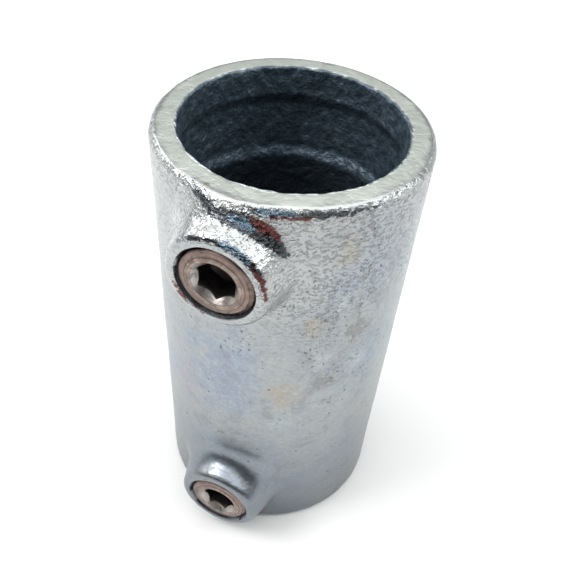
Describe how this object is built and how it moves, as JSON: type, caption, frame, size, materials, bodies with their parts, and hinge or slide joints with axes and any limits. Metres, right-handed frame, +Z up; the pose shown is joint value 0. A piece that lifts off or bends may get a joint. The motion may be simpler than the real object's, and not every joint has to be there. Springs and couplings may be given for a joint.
{
  "type": "scaffold tube sleeve coupling",
  "caption": "Straight cast sleeve that joins two scaffold tubes end to end, gripped by a hex-socket set screw in a threaded boss near each end.",
  "frame": {"origin": "centre of the lower rim, on the plane the sleeve stands on", "axes": "+Z up along the tube bore, -Y outward through both screw bosses"},
  "size_m": [0.061, 0.0677, 0.115],
  "materials": {
    "galvanised_iron": "hot-dip galvanised casting, rough, semi-gloss, mottled grey",
    "bronze_steel": "turned steel with a brown protective coating, satin"
  },
  "bodies": {
    "sleeve": {"sleeve_casting": "galvanised_iron"},
    "upper_screw_travel": {"upper_screw_cup_point": "bronze_steel"},
    "upper_screw": {"upper_set_screw": "bronze_steel"},
    "lower_screw_travel": {"lower_screw_cup_point": "bronze_steel"},
    "lower_screw": {"lower_set_screw": "bronze_steel"}
  },
  "joints": [
    {"name": "upper_screw_advance", "type": "slide", "parent": "sleeve", "child": "upper_screw_travel", "axis": [0, 1, 0], "range_m": [-0.00669, 0.00168]},
    {"name": "upper_screw_turn", "type": "hinge", "parent": "upper_screw_travel", "child": "upper_screw", "pos_m": [0, -0.032, 0.0994], "axis": [0, 1, 0], "range_deg": [-1800, 450]},
    {"name": "lower_screw_advance", "type": "slide", "parent": "sleeve", "child": "lower_screw_travel", "axis": [0, 1, 0], "range_m": [-0.00669, 0.00168]},
    {"name": "lower_screw_turn", "type": "hinge", "parent": "lower_screw_travel", "child": "lower_screw", "pos_m": [0, -0.032, 0.0156], "axis": [0, 1, 0], "range_deg": [-1800, 450]}
  ],
  "couplings": [
    {"joint": "upper_screw_advance", "follows": "upper_screw_turn", "m_per_rad": 0.00021276},
    {"joint": "lower_screw_advance", "follows": "lower_screw_turn", "m_per_rad": 0.00021276}
  ]
}
